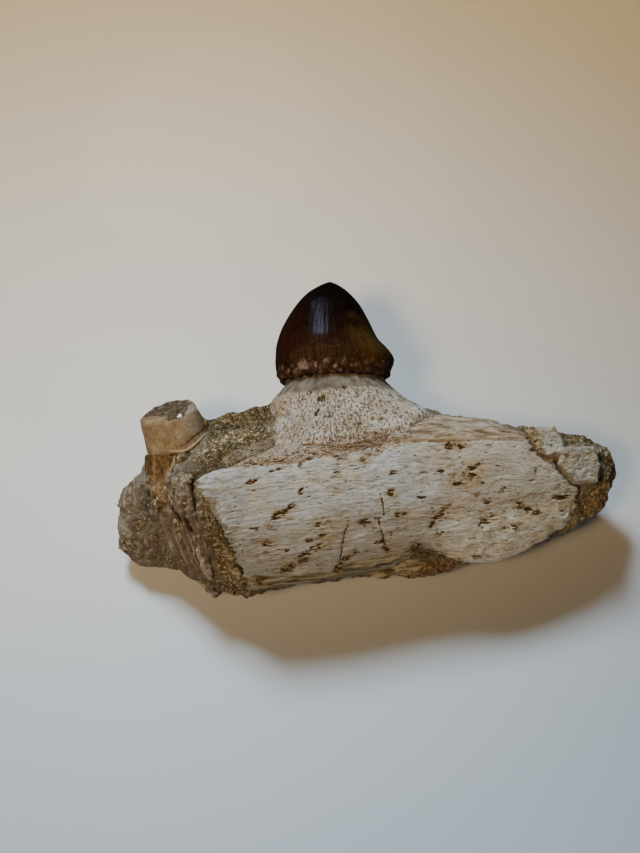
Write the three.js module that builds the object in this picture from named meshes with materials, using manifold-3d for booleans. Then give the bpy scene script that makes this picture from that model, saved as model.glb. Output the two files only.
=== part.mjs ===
// A fossil mosasaur jaw: a broken length of tooth-bearing jaw bone, still bedded in its sandy matrix.
// It lies on its side. +X runs along the jaw, +Y is the way the tooth points and +Z is up.
// Units are millimetres. The origin is under the middle of the specimen, on the surface it lies on.
import * as THREE from "three";
import { mergeVertices } from "three/addons/utils/BufferGeometryUtils.js";
import Module from "manifold-3d";

const wasm = await Module();
wasm.setup();

// Driving dimensions
const gap = 0.35; // left between two pieces that are bedded in each other
const skinSteps = 30; // rings along a bone or the matrix
const toothSides = 32; // corners round a tooth
const crownHeight = 25.4; // neck to tip
const neckPlace = [-6.4, 13.8, 23.6]; // centre of the crown's neck
const toothRise = 14; // degrees that the tooth points up, as the jaw lies
const toothLean = 7.5; // degrees that it leans to the right
const stubPlace = [-47.9, 0.6, 21.6]; // centre of the broken tooth's base
const stubRise = 21; // degrees
const stubLean = -2; // degrees
const stubLength = 11.3; // base to the middle of the break
const stubBreakTilt = 21; // degrees that the break leans towards the upper face
const stubShoulder = [-41.8, 8.6, 29]; // a point on the second break, across the stump's right shoulder
const stubRootRise = 13; // degrees
const stubRootLean = 22; // degrees
const plateDepth = [4.4, 3, -3.8]; // how far the end plate reaches into the matrix

const colours = {
  enamel: { color: 0x2a170d, roughness: 0.28 },
  toothRoot: { color: 0xb3a498, roughness: 0.85 },
  bone: { color: 0xc9c0ae, roughness: 0.8 },
  endBone: { color: 0x8d7768, roughness: 0.8 },
  dentine: { color: 0xb08d62, roughness: 0.45 },
  ochreBone: { color: 0x97683a, roughness: 0.8 },
  matrix: { color: 0x75603f, roughness: 0.95 },
};

// ---- Making closed bodies ----

// A rail is a line along the specimen through a few hand-picked points. Stepped rails keep their corners.
function rail(points, stepped = false) {
  const corners = points.map((point) => new THREE.Vector3(...point));
  const curve = stepped
    ? new THREE.CatmullRomCurve3(corners, false, "catmullrom", 0)
    : new THREE.CatmullRomCurve3(corners, false, "centripetal");
  return curve.getSpacedPoints(skinSteps);
}

// Rings of points joined into one closed body. Each ring runs anticlockwise seen from the far end.
function closedBody(rings) {
  const sides = rings[0].length;
  const positions = rings.flat().flatMap((point) => [point.x, point.y, point.z]);
  const faces = [];
  for (let i = 0; i + 1 < rings.length; i++) {
    for (let j = 0; j < sides; j++) {
      const here = i * sides + j;
      const beside = i * sides + ((j + 1) % sides);
      faces.push(here, beside, beside + sides, here, beside + sides, here + sides);
    }
  }
  const last = (rings.length - 1) * sides;
  for (const [a, b, c] of capFaces(rings[0])) faces.push(a, c, b);
  for (const [a, b, c] of capFaces(rings.at(-1))) faces.push(last + a, last + b, last + c);
  return solidFrom(positions, faces);
}

// The direction that a ring faces, by its winding.
function ringNormal(ring) {
  const normal = new THREE.Vector3();
  for (let i = 0; i < ring.length; i++) {
    normal.add(new THREE.Vector3().crossVectors(ring[i], ring[(i + 1) % ring.length]));
  }
  return normal.normalize();
}

// Triangles that close a ring, found on the ring's own best plane.
function capFaces(ring) {
  const flatten = new THREE.Quaternion().setFromUnitVectors(ringNormal(ring), new THREE.Vector3(0, 0, 1));
  const outline = ring.map((point) => {
    const laid = point.clone().applyQuaternion(flatten);
    return new THREE.Vector2(laid.x, laid.y);
  });
  return THREE.ShapeUtils.triangulateShape(outline, []);
}

function solidFrom(positions, faces) {
  const mesh = new wasm.Mesh({
    numProp: 3,
    vertProperties: new Float32Array(positions),
    triVerts: new Uint32Array(faces),
  });
  return new wasm.Manifold(mesh);
}

// A bone or the matrix: rails joined side by side, in order from the far side over the top to the base.
function skin(rails) {
  const rings = [];
  for (let i = 0; i <= skinSteps; i++) rings.push(rails.map((line) => line[i]));
  return closedBody(rings);
}

// A tooth or a root: rings stacked along its axis. Each row of the profile is a height along the axis
// and the reach there to the left, right, top and underside.
function toothBody(profile, place, rise, lean, rows = 22) {
  const low = profile[0][0];
  const high = profile.at(-1)[0];
  const tooth = new THREE.Matrix4().makeTranslation(...place);
  tooth.multiply(new THREE.Matrix4().makeRotationZ(THREE.MathUtils.degToRad(-lean)));
  tooth.multiply(new THREE.Matrix4().makeRotationX(THREE.MathUtils.degToRad(rise)));
  const rings = [];
  for (let i = 0; i <= rows; i++) {
    const height = low + (high - low) * Math.sin((i / rows) * Math.PI * 0.5) ** 1.15;
    const [left, right, top, under] = [1, 2, 3, 4].map((column) => reachAt(profile, column, height));
    const ring = [];
    for (let j = 0; j < toothSides; j++) {
      const turn = (-j / toothSides) * Math.PI * 2;
      const across = Math.cos(turn) * (Math.cos(turn) > 0 ? right : left);
      const up = Math.sin(turn) * (Math.sin(turn) > 0 ? top : under);
      ring.push(new THREE.Vector3(across, height, up).applyMatrix4(tooth));
    }
    rings.push(ring);
  }
  return closedBody(rings);
}

// The reach at a height, on a smooth curve through the profile's rows.
function reachAt(profile, column, height) {
  const points = profile.map((row) => new THREE.Vector2(row[0], row[column]));
  let i = 0;
  while (i < points.length - 2 && height > points[i + 1].x) i++;
  const before = points[Math.max(i - 1, 0)];
  const after = points[Math.min(i + 2, points.length - 1)];
  const [start, end] = [points[i], points[i + 1]];
  const span = end.x - start.x;
  const slopeIn = ((end.y - before.y) / (end.x - before.x)) * span;
  const slopeOut = ((after.y - start.y) / (after.x - start.x)) * span;
  const t = (height - start.x) / span;
  const rest = 1 - t;
  return (
    start.y * (1 + 2 * t) * rest * rest +
    slopeIn * t * rest * rest +
    end.y * t * t * (3 - 2 * t) -
    slopeOut * t * t * rest
  );
}

// A small chip: a flat-faced slab with an outline of corners and a slightly smaller back.
function chip(corners, depth, facing) {
  const away = new THREE.Vector3(...facing).normalize().multiplyScalar(-depth);
  const front = corners.map((corner) => new THREE.Vector3(...corner));
  if (ringNormal(front).dot(away) > 0) front.reverse();
  const middle = new THREE.Vector3();
  front.forEach((point) => middle.addScaledVector(point, 1 / front.length));
  const back = front.map((point) => point.clone().lerp(middle, 0.15).add(away));
  return closedBody([back, front]);
}

// The same body, grown outwards, to cut its bed in a neighbour.
function grown(solid) {
  const geometry = geometryOf(solid);
  geometry.computeVertexNormals();
  const place = geometry.getAttribute("position");
  const normal = geometry.getAttribute("normal");
  for (let i = 0; i < place.count; i++) {
    place.setXYZ(
      i,
      place.getX(i) + normal.getX(i) * gap,
      place.getY(i) + normal.getY(i) * gap,
      place.getZ(i) + normal.getZ(i) * gap,
    );
  }
  return solidFrom([...place.array], [...geometry.index.array]);
}

function geometryOf(solid) {
  const made = solid.getMesh();
  const places = [];
  for (let i = 0; i < made.numVert; i++) {
    places.push(...made.vertProperties.subarray(i * made.numProp, i * made.numProp + 3));
  }
  const geometry = new THREE.BufferGeometry();
  geometry.setAttribute("position", new THREE.Float32BufferAttribute(places, 3));
  geometry.setIndex([...made.triVerts]);
  return mergeVertices(geometry, 1e-3);
}

// The body with everything past a break taken off.
function brokenAt(solid, facing, point) {
  return solid.trimByPlane(facing.clone().negate().toArray(), -facing.dot(point));
}

// The largest of the bodies that a cut leaves.
function mainBody(solid) {
  return solid.decompose().reduce((best, body) => (body.volume() > best.volume() ? body : best));
}

// ---- The tooth that is whole ----

function makeCrown() {
  // A bulbous crown: its left side is rounder, its right side straighter, with a swollen rim over the neck.
  const profile = [
    [0.0, 12.6, 12.9, 11.5, 11.3],
    [1.6, 14.4, 14.5, 13.3, 12.9],
    [4.2, 14.9, 15.5, 13.9, 13.3],
    [6.4, 14.8, 14.8, 13.6, 12.9],
    [9.5, 14.4, 12.5, 12.6, 11.8],
    [13.9, 12.8, 10.2, 10.4, 9.5],
    [19.2, 9.4, 7.2, 7.2, 6.4],
    [22.8, 6.0, 4.2, 4.3, 3.8],
    [crownHeight - 0.5, 2.3, 1.6, 1.8, 1.6],
    [crownHeight, 0.3, 0.3, 0.3, 0.3],
  ];
  return toothBody(profile, neckPlace, toothRise, toothLean);
}

function makeToothRoot() {
  // The root swells from the neck into a broad foot that is rooted in the jaw bone.
  const profile = [
    [-25.0, 20.0, 21.0, 13.4, 13.0],
    [-21.0, 21.6, 25.0, 15.8, 15.5],
    [-16.6, 18.6, 27.0, 16.6, 16.0],
    [-11.5, 15.4, 25.5, 15.6, 15.6],
    [-8.6, 15.2, 21.6, 14.2, 14.6],
    [-5.8, 14.9, 17.4, 13.0, 13.2],
    [-3.0, 13.5, 14.4, 12.1, 12.0],
    [-1.4, 12.7, 13.1, 11.6, 11.4],
    [-gap, 12.4, 12.7, 11.3, 11.1],
  ];
  return toothBody(profile, neckPlace, toothRise, toothLean);
}

// ---- The broken tooth ----

function makeBrokenTooth() {
  // A stump that widens a little upwards. One break crosses it and a second takes off its right shoulder.
  const profile = [
    [0.0, 7.7, 7.6, 7.2, 7.0],
    [5.0, 7.9, 7.9, 7.3, 7.1],
    [11.0, 8.2, 8.2, 7.3, 7.1],
    [20.0, 8.2, 8.2, 7.2, 7.0],
  ];
  const rise = THREE.MathUtils.degToRad(stubRise);
  const base = new THREE.Vector3(...stubPlace);
  const middle = new THREE.Vector3(0, Math.cos(rise), Math.sin(rise)).multiplyScalar(stubLength).add(base);
  const across = rise + THREE.MathUtils.degToRad(stubBreakTilt);
  const breakFace = new THREE.Vector3(-0.09, Math.cos(across), Math.sin(across)).normalize();
  const shoulder = new THREE.Vector3(0.78, 0.62, 0.1).normalize();
  const whole = toothBody(profile, stubPlace, stubRise, stubLean, 10);
  return brokenAt(brokenAt(whole, breakFace, middle), shoulder, new THREE.Vector3(...stubShoulder));
}

function makeBrokenToothRoot() {
  const profile = [
    [-15.0, 3.2, 3.4, 4.0, 3.6],
    [-10.5, 5.2, 5.4, 6.6, 6.4],
    [-5.0, 7.6, 7.8, 7.4, 7.8],
    [-gap, 8.3, 8.5, 7.4, 7.8],
  ];
  return toothBody(profile, stubPlace, stubRootRise, stubRootLean, 10);
}

// ---- The jaw bone ----

function makeJawBone() {
  // The outer wall of the jaw: a thick, gently bowed plate that turns under along its lower border.
  return skin([
    rail([[-44.5, -11.3, 34.6], [-34, -9.3, 35], [-22, -5, 33.6], [-5, -3, 32.8], [10, -1.6, 30.6],
      [20, -3.6, 29], [31.6, -6.8, 28.2], [34.2, -10.2, 28], [44, -11.2, 26.8]]),
    rail([[-45, -12.9, 35.2], [-34, -12, 36], [-20, -9.4, 36.2], [0, -8, 35.4], [15, -9, 33.6],
      [30, -11.6, 31.2], [44.4, -13.4, 28.8]]),
    rail([[-42.6, -18, 33.2], [-20, -17, 34.2], [0, -16, 33.8], [20, -17, 31.8], [45, -18.4, 28.4]]),
    rail([[-39.6, -24.5, 29.4], [-20, -25, 30.4], [0, -25, 30], [20, -25.2, 28.6], [46.4, -24.6, 26.4]]),
    rail([[-36.8, -31.4, 23.6], [-20, -32, 24.5], [0, -32, 24], [20, -33, 23.2], [46.4, -30.4, 22.4]]),
    rail([[-37, -36.4, 17.6], [-27, -35.8, 17.6], [-20, -37.1, 17.2], [-11, -36, 17.6], [0, -36.2, 17.6],
      [5, -34.2, 18.8], [9, -33.8, 19.4], [13, -36.4, 18.4], [19, -39, 17.4], [30.5, -38.4, 18],
      [45, -33, 19.6]]),
    rail([[-36.6, -35.2, 13.6], [-20, -35.6, 13], [-2, -35.2, 13], [7, -33, 16], [13, -34.6, 14.6],
      [20, -36.6, 13.6], [44.6, -31.6, 16.8]]),
    rail([[-36, -31, 14.6], [0, -30.6, 14.8], [20, -31, 15.4], [44, -28.6, 17.4]]),
    rail([[-39, -23, 22.6], [0, -23.4, 22.8], [20, -23.4, 21.6], [44, -23.4, 20.6]]),
    rail([[-42.6, -15, 28], [0, -12, 28], [20, -12.6, 25.6], [43.6, -15, 23]]),
    rail([[-43.6, -11.6, 30], [-22, -6, 29], [0, -4.6, 27.4], [31, -8.4, 24], [43.4, -12, 23.4]]),
  ]);
}

function makeEndBone() {
  // A plate of the jaw's inner wall, seen edge on down the broken left end.
  const left = rail([[-51.9, -7.2, 27.9], [-54.9, -11, 22.9], [-54.3, -17, 17.7], [-52.9, -22.2, 13.1],
    [-50.4, -26.8, 9.2], [-46.2, -31.4, 7.2]]);
  const right = rail([[-46.2, -10.8, 33.1], [-46.5, -18.5, 26.9], [-45.4, -24.2, 21.3], [-44.9, -29.7, 14.9],
    [-44.4, -32.8, 8.2]]);
  const inwards = new THREE.Vector3(...plateDepth);
  const deeper = (line) => line.map((point) => point.clone().add(inwards));
  return skin([deeper(left), deeper(right), right, left]);
}

// ---- Chips of bone in the matrix ----

function makeUpperChip() {
  const outline = [[36.6, -11.2, 30.6], [38.6, -18.2, 30.3], [44.9, -18.8, 29.4], [43.9, -11.2, 29]];
  return chip(outline, 4, [0.15, 0.1, 1]);
}

function makeRightChip() {
  const outline = [[44.2, -17, 29.4], [42.8, -20.8, 29.2], [46, -25.6, 27.2], [51.2, -25.8, 25.6],
    [53, -21.8, 25.8], [52.7, -17.2, 26.6]];
  return chip(outline, 4.4, [0.3, -0.1, 1]);
}

function makeLeftChip() {
  const outline = [[-65.8, -6.4, 12.6], [-62.6, -10.6, 13.6], [-59.8, -8.4, 17.8], [-60.2, -2.6, 18.2],
    [-63.6, -2.8, 14.2]];
  return chip(outline, 4, [-0.7, -0.2, 0.7]);
}

function makeLumpChip() {
  const outline = [[-61.4, -19.6, 6.6], [-59.4, -20.6, 7.4], [-55.6, -17.8, 14.8], [-57, -15.2, 16.8],
    [-60.2, -16.2, 11.6]];
  return chip(outline, 4, [-0.6, -0.45, 0.66]);
}

// ---- The matrix ----

function makeMatrix() {
  // Sandy rock that fills the jaw, carries its broken ends and is flat where it lies.
  return skin([
    rail([[-65.6, -8, 5], [-60, -3, 8], [-50, 3, 10], [-41, 9, 11], [-24, 11, 11], [0, 8.6, 11],
      [24, 0, 11], [44, -9, 12], [54, -13.6, 12], [58.4, -17.6, 14]], true),
    rail([[-66, -7.6, 9.6], [-60, -1.4, 17.4], [-53, 3.6, 19.6], [-41, 8.8, 22], [-24, 10.6, 22.4],
      [-10, 9.4, 21], [8, 6, 20], [24, -1.6, 22], [40, -8.6, 24.4], [50, -12, 24.4],
      [58.8, -15.4, 20]], true),
    rail([[-66.4, -8.8, 10], [-60.4, -6, 17.4], [-52, -8, 27.6], [-44, -8.6, 32.6], [-33, -7.4, 34],
      [-22, -5, 31], [0, -5, 29], [24, -9, 26], [45, -14.4, 26.8], [53, -15.4, 25.6],
      [59.2, -18, 19.6]], true),
    rail([[-66.8, -11.6, 9], [-60.6, -12, 15], [-51, -15.6, 23.6], [-43.2, -19.6, 27.6], [-30, -22, 26.4],
      [0, -22, 24], [30, -22, 22.6], [46, -22.4, 24.6], [53, -22, 23.8], [59.2, -20.4, 18]], true),
    rail([[-67.6, -15.6, 6.4], [-62.8, -21.2, 5.6], [-56.6, -23, 6.2], [-51.6, -24.6, 9.4],
      [-48.4, -28.8, 9], [-44.6, -32, 10.4], [-38.4, -35.6, 13.4], [-26, -34.4, 13.6], [-4, -35.8, 13.2],
      [0, -37.6, 12.4], [8.6, -38.8, 12.4], [15, -38.2, 13], [20, -35.6, 14], [34, -35, 16],
      [46, -33.8, 18], [53.6, -30.6, 17.6], [59, -22.6, 16.6]], true),
    rail([[-66.8, -14.6, 3.4], [-62, -19.6, 2.8], [-53, -21.8, 3.4], [-46, -28.4, 5], [-36, -32.4, 6.6],
      [-12, -32, 6.6], [8, -33, 7], [30, -31.4, 7.6], [46, -28.4, 9.4], [54, -25, 10.6],
      [58, -20.8, 12]], true),
    rail([[-63.6, -13.4, 0], [-50, -19.4, 0], [-36, -26.4, 0], [-12, -27, 0], [8, -27, 0], [28, -25, 0],
      [43, -21, 0], [52, -19.4, 5.4], [57, -19.2, 10.6]], true),
    rail([[-63, -9.4, 0], [-46, 1, 0], [-24, 5.4, 0], [0, 3, 0], [24, -5, 0], [42, -13, 0],
      [51, -16.4, 5.4], [57, -18.2, 10.8]], true),
  ]);
}

// ---- Bedding the pieces in each other ----

const solids = {};
solids.tooth_crown = { solid: makeCrown(), colour: colours.enamel };
solids.tooth_root = { solid: makeToothRoot(), colour: colours.toothRoot };
solids.broken_tooth = { solid: makeBrokenTooth(), colour: colours.dentine };
solids.broken_tooth_root = { solid: makeBrokenToothRoot(), colour: colours.ochreBone };
solids.upper_chip = { solid: makeUpperChip(), colour: colours.bone };
solids.right_chip = { solid: makeRightChip(), colour: colours.bone };
solids.jaw_bone = { solid: makeJawBone(), colour: colours.bone };
solids.end_bone = { solid: makeEndBone(), colour: colours.endBone };
solids.left_chip = { solid: makeLeftChip(), colour: colours.endBone };
solids.lump_chip = { solid: makeLumpChip(), colour: colours.endBone };
solids.matrix = { solid: makeMatrix(), colour: colours.matrix };

// Each piece is cut by the beds of all the pieces before it, so the teeth stay whole and the matrix
// takes every bed.
const group = new THREE.Group();
const beds = [];
for (const [name, { solid, colour }] of Object.entries(solids)) {
  const bedded = mainBody(beds.reduce((rest, bed) => rest.subtract(bed), solid));
  beds.push(grown(solid));
  const mesh = new THREE.Mesh(geometryOf(bedded), new THREE.MeshStandardMaterial({ ...colour, metalness: 0 }));
  mesh.name = name;
  group.add(mesh);
}

// The origin goes under the middle of the whole specimen.
const bounds = new THREE.Box3().setFromObject(group);
const middle = bounds.getCenter(new THREE.Vector3());
group.position.set(-middle.x, -middle.y, -bounds.min.z);

export default group;
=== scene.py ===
import math
from functools import partial

import bmesh
import bpy
import numpy as np
from mathutils import Matrix, Vector, noise
from mathutils.bvhtree import BVHTree


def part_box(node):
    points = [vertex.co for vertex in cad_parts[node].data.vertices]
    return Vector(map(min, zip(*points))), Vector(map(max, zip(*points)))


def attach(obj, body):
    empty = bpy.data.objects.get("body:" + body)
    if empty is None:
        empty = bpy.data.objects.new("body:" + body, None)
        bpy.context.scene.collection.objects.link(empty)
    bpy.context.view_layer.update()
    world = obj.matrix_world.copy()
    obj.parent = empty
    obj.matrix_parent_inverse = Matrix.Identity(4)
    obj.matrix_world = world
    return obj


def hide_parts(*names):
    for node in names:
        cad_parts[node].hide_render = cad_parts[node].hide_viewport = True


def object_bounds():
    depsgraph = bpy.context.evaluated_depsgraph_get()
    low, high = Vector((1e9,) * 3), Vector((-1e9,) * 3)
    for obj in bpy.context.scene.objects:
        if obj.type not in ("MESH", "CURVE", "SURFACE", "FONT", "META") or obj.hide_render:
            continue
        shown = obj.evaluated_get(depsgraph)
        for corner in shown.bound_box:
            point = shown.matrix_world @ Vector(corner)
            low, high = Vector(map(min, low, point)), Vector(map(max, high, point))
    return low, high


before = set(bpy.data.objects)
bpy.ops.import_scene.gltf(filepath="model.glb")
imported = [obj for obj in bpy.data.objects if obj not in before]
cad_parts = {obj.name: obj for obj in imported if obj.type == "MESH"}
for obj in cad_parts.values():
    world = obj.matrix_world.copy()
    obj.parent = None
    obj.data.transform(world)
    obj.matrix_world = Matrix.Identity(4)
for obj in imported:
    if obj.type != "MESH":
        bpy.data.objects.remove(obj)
cadBox = [list(corner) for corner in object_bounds()]

mm = 0.001  # the frame is in metres, and everything below is thought out in millimetres
noise.seed_set(7)  # without a seed of its own, mathutils noise takes one from the clock and each run differs


def nodeMiddle(name):
    low, high = [np.array(corner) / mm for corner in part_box(name)]
    return (low + high) / 2


specimenMiddle = (np.array(cadBox[0]) + np.array(cadBox[1])) / 2 / mm


# Small helpers

def linear(hexColour):
    channels = [int(hexColour[i:i + 2], 16) / 255 for i in (1, 3, 5)]
    return [c / 12.92 if c <= 0.04045 else ((c + 0.055) / 1.055) ** 2.4 for c in channels] + [1.0]


# Usual nodes by a short kind: the type, the inputs that values fill in turn, the output that is used,
# settings, and the setting that a word after the kind gives
nodeKinds = {
    "math": ("ShaderNodeMath", (0, 1, 2), 0, {}, "operation"),
    "vector": ("ShaderNodeVectorMath", (0, 1, 2), 0, {}, "operation"),
    "scale": ("ShaderNodeVectorMath", (0, "Scale"), 0, {"operation": "SCALE"}, ""),
    "separate": ("ShaderNodeSeparateXYZ", (0,), 0, {}, ""),
    "combine": ("ShaderNodeCombineXYZ", (0, 1, 2), 0, {}, ""),
    "noise": ("ShaderNodeTexNoise", ("Vector", "Scale", "Detail", "Roughness"), 0, {}, ""),
    "cells": ("ShaderNodeTexVoronoi", ("Vector", "Scale"), 0, {}, ""),
    "range": ("ShaderNodeMapRange", (0, 1, 2, 3, 4), 0, {}, ""),
    "fade": ("ShaderNodeMapRange", (0, 1, 2, 3, 4), 0, {"interpolation_type": "SMOOTHSTEP"}, ""),
    "mix": ("ShaderNodeMix", (0, 6, 7), 2, {"data_type": "RGBA"}, "blend_type"),
    "tones": ("ShaderNodeValToRGB", (0,), 0, {}, ""),
    "attribute": ("ShaderNodeAttribute", (), "Fac", {}, "attribute_name"),
}


def addNode(tree, kind, *values, out=None, stops=(), **settings):
    # values fill the inputs in turn, or are one dictionary of them by name. Stops are the colours of a ramp.
    short, _, word = kind.partition(" ")
    nodeType, order, usualOut, usual, wordSets = nodeKinds.get(short, (kind, (), 0, {}, ""))
    node = tree.nodes.new(nodeType)
    for name, value in {**usual, **settings, **({wordSets: word} if word else {})}.items():
        setattr(node, name, value)
    byName = values and isinstance(values[0], dict)
    fillInputs(tree, node, values[0] if byName else dict(zip(order, values)))
    for i, (place, colour) in enumerate(stops):
        while len(node.color_ramp.elements) <= i:
            node.color_ramp.elements.new(1)
        node.color_ramp.elements[i].position = place
        node.color_ramp.elements[i].color = linear(colour)
    return node.outputs[usualOut if out is None else out] if node.outputs else node


def fillInputs(tree, node, inputs):
    for name, value in inputs.items():
        socket = node.inputs[name]
        if isinstance(value, bpy.types.NodeSocket):
            tree.links.new(value, socket)
        else:
            isColour = isinstance(value, str) and value.startswith("#")
            socket.default_value = linear(value) if isColour else value


def ramp(value, start, end):
    # smooth step of an array from 0 at start to 1 at end, either way round
    t = np.clip((value - start) / (end - start), 0, 1)
    return t * t * (3 - 2 * t)


def newObject(name, data):
    thing = bpy.data.objects.new(name, data)
    bpy.context.scene.collection.objects.link(thing)
    return thing


def settle(piece):
    # what the modifiers make becomes the piece's plain mesh
    graph = bpy.context.evaluated_depsgraph_get()
    made = bpy.data.meshes.new_from_object(
        piece.evaluated_get(graph), preserve_all_data_layers=True, depsgraph=graph)
    piece.modifiers.clear()
    piece.data = made
    return piece


def castOf(name, node, voxel):
    # a fine even mesh of a CAD node, to be weathered
    cast = bmesh.new()
    cast.from_mesh(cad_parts[node].data)
    bmesh.ops.remove_doubles(cast, verts=cast.verts, dist=0.001 * mm)
    mesh = bpy.data.meshes.new(name)
    cast.to_mesh(mesh)
    cast.free()
    piece = newObject(name, mesh)
    remesh = piece.modifiers.new("Remesh", "REMESH")
    remesh.mode = "VOXEL"
    remesh.voxel_size = voxel * mm
    return settle(piece)


def perPoint(piece, layer="vertices", field="co"):
    flat = np.zeros(len(piece.data.vertices) * 3, np.float32)
    getattr(piece.data, layer).foreach_get(field, flat)
    return flat.reshape(-1, 3).astype(float)


def store(piece, **layers):
    # each becomes an attribute of its name: one value for all the points, or one or three for each
    for name, values in layers.items():
        values = np.asarray(values, np.float32)
        flat = values.ravel() if values.ndim else np.full(len(piece.data.vertices), values)
        kind, field = ("FLOAT_VECTOR", "vector") if values.ndim == 2 else ("FLOAT", "value")
        piece.data.attributes.new(name, kind, "POINT").data.foreach_set(field, flat)


def wander(points, size):
    # three smooth random numbers a point, each about -1 to 1, that change over the given size
    return np.array([noise.noise_vector(Vector(point)) for point in points / size])


def distanceTo(points, nodes, reach):
    # mm from each point to the nearest of some CAD nodes, up to a reach
    shape = bmesh.new()
    for node in nodes:
        shape.from_mesh(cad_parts[node].data)
    surface = BVHTree.FromBMesh(shape)
    shape.free()
    found = (surface.find_nearest(Vector(point * mm), reach * mm)[3] for point in points)
    return np.array([reach if distance is None else distance / mm for distance in found])


def awayFromLine(points, route):
    # from each point to the nearest place on a line through the given spots
    away = np.full(len(points), 1e9)
    for start, end in zip(route, route[1:]):
        along = np.subtract(end, start)
        share = np.clip((points - start) @ along / (along @ along), 0, 1)
        away = np.minimum(away, np.linalg.norm(points - start - share[:, None] * along, axis=1))
    return away


def besideLine(points, route, width):
    # 1 on the line, fading to 0 at its width
    return ramp(awayFromLine(points, route), width, width * 0.4)


def alignedTo(points, grain):
    # the points in axes whose X runs with the grain
    return points @ np.array(Vector((1, 0, 0)).rotation_difference(Vector(grain)).to_matrix())


def turned(points, degrees, axis="Z"):
    return points @ np.array(Matrix.Rotation(math.radians(-degrees), 3, axis)).T


def newTree(name, inputs):
    tree = bpy.data.node_groups.new(name, "GeometryNodeTree")
    kinds = {float: "NodeSocketFloat", int: "NodeSocketInt", str: "NodeSocketMaterial"}
    tree.interface.new_socket("Geometry", in_out="INPUT", socket_type="NodeSocketGeometry")
    tree.interface.new_socket("Geometry", in_out="OUTPUT", socket_type="NodeSocketGeometry")
    for title, value in inputs.items():
        socket = tree.interface.new_socket(title, in_out="INPUT", socket_type=kinds[type(value)])
        if not isinstance(value, str):
            socket.default_value = value
    return tree, partial(addNode, tree), tree.nodes.new("NodeGroupInput").outputs


def paintAndEnd(add, shape, given):
    real = add("GeometryNodeRealizeInstances", {"Geometry": shape})
    painted = add("GeometryNodeSetMaterial", {"Geometry": real, "Material": given["Material"]})
    add("NodeGroupOutput", {"Geometry": painted})


def applyTree(piece, tree, values):
    step = piece.modifiers.new(tree.name, "NODES")
    step.node_group = tree
    for item in tree.interface.items_tree:
        if item.in_out == "INPUT" and item.name in values:
            step[item.identifier] = values[item.name]
    return settle(piece)


def startMaterial(name):
    material = bpy.data.materials.new(name)
    material.use_nodes = True
    add = partial(addNode, material.node_tree)
    return material, add, add("attribute pattern", out="Vector")


def finishMaterial(material, colour, finish, relief=None, depth=0.0):
    # finish holds the shader's other inputs, and relief is a pattern that light shows, depth mm high
    tree = material.node_tree
    inputs = {"Base Color": colour, **finish}
    if relief is not None:
        inputs["Normal"] = addNode(tree, "ShaderNodeBump", {"Height": relief, "Distance": depth * mm})
    fillInputs(tree, tree.nodes["Principled BSDF"], inputs)
    return material


# Patterns that a shader and a geometry tree both draw, from a place in mm whose X runs with the grain

def drawnOut(add, place, size, stretch):
    # the place in cells of a size across the grain, that are longer along it
    across = add("math DIVIDE", 1.0, size)
    return add("vector MULTIPLY", place, add("combine", add("math DIVIDE", across, stretch), across, across))


def streaks(add, place, size, stretch, detail=3.0):
    return add("noise", drawnOut(add, place, size, stretch), 1.0, detail, 0.6)


def hollows(add, place, spacing, stretch, width, share):
    # small holes or grains, one to a cell: 1 in its middle and 0 outside it. Width is a share of the cell.
    stir = add("noise", place, 1.1, 2.0, out=1)
    push = add("vector ADD", stir, (-0.5, -0.5, -0.5))
    bent = add("vector MULTIPLY_ADD", push, (0.9, 0.45, 0.45), place)
    near = add("cells", drawnOut(add, bent, spacing, stretch), 1.0)
    picked = add("math LESS_THAN", add("separate", near.node.outputs["Color"]), share)
    core = add("fade", near, width, add("math MULTIPLY", width, 0.55))
    return add("math MULTIPLY", core, picked)


def raggedHoles(add, place, region, lead):
    # holes eaten along the fibres in a region that fades from 1 to 0, or with a lead, the stain round them
    grain = add("range", streaks(add, place, 0.34, 4.2, detail=2.0), 0.32, 0.66, 0.1, 1.5)
    return add("fade", add("math SUBTRACT", region, grain), -lead, 0.2 - lead * 0.4)


def laminae(add, place, size, stretch, layers):
    # thin sheets of bone lying over each other: how far across its sheet a place is, from 0 to 1
    field = streaks(add, place, size, stretch, detail=2.0)
    return add("math FRACT", add("math MULTIPLY", field, layers))


# Weathering: the tree that turns a smooth cast into an old broken surface

weathered = {
    "Smoothing": 60,  # rounds of smoothing, which keep sharp breaks
    "Grow": 0.2,  # mm outwards, so that pieces meet in their beds
    "Stray Size": 5.0,  # an edge wanders by the stray attribute, in mm, over this length
    "Lump": 0.0, "Lump Size": 4.0,
    "Fibre": 0.0, "Fibre Size": 0.8, "Fibre Stretch": 10.0,
    "Fray": 0.0,  # mm that fibres stand out of an end break
    "Sheet": 0.0, "Sheet Size": 4.0,  # thickness of the sheets that have flaked off, and their width
    "Hollow": 0.0, "Hollow Spacing": 1.5, "Hollow Stretch": 2.0, "Hollow Width": 0.3, "Hollow Share": 0.5,
    "Flat Below": -1.0,  # mm above the floor under which the surface is left alone
    "Material": "",
}
# what a piece may give at each of its points: its share of the relief, a region that is eaten and how many
# mm deep, mm that it is sunk, and mm that an edge strays
shares = {"rough": 1.0, "mark": 0.0, "deep": 0.0, "sunk": 0.0, "stray": 0.0}


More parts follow.
